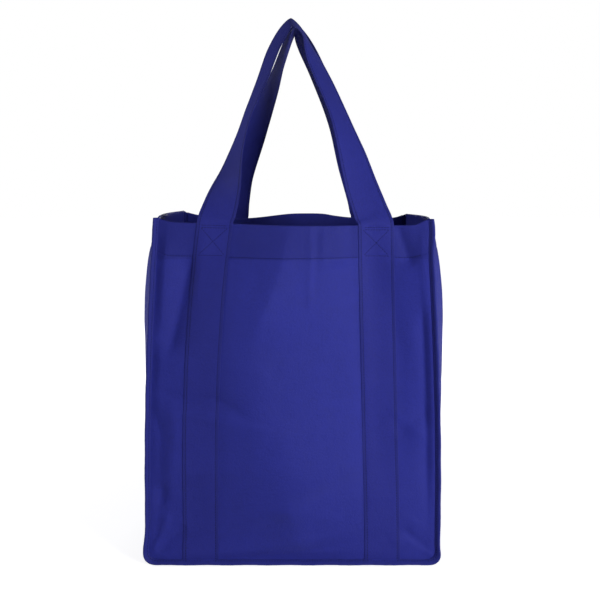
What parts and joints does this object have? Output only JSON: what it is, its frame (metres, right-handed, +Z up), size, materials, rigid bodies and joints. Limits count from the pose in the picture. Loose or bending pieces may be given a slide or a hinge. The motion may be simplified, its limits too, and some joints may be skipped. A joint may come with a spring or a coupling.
{
  "type": "non-woven tote bag",
  "caption": "Open-topped shopping tote of bonded cloth with bound seam ridges, a hemmed rim and long strap handles drawn up to one point.",
  "frame": {"origin": "on the surface the bag stands on, under the middle of the bag's box", "axes": "+Z up; +Y from the front panel to the back panel; +X to the right seen from the front"},
  "size_m": [0.3701, 0.2478, 0.6377],
  "materials": {
    "bag_cloth": "matt bonded cloth with a fine pressed pattern",
    "strap_cloth": "matt bonded cloth, two layers",
    "binding_tape": "matt folded tape",
    "board": "matt sheet"
  },
  "bodies": {
    "root": {"front_panel": "bag_cloth", "back_panel": "bag_cloth", "gusset": "bag_cloth", "front_strap": "strap_cloth", "back_strap": "strap_cloth", "front_binding": "binding_tape", "back_binding": "binding_tape", "base_board": "board"}
  },
  "joints": []
}
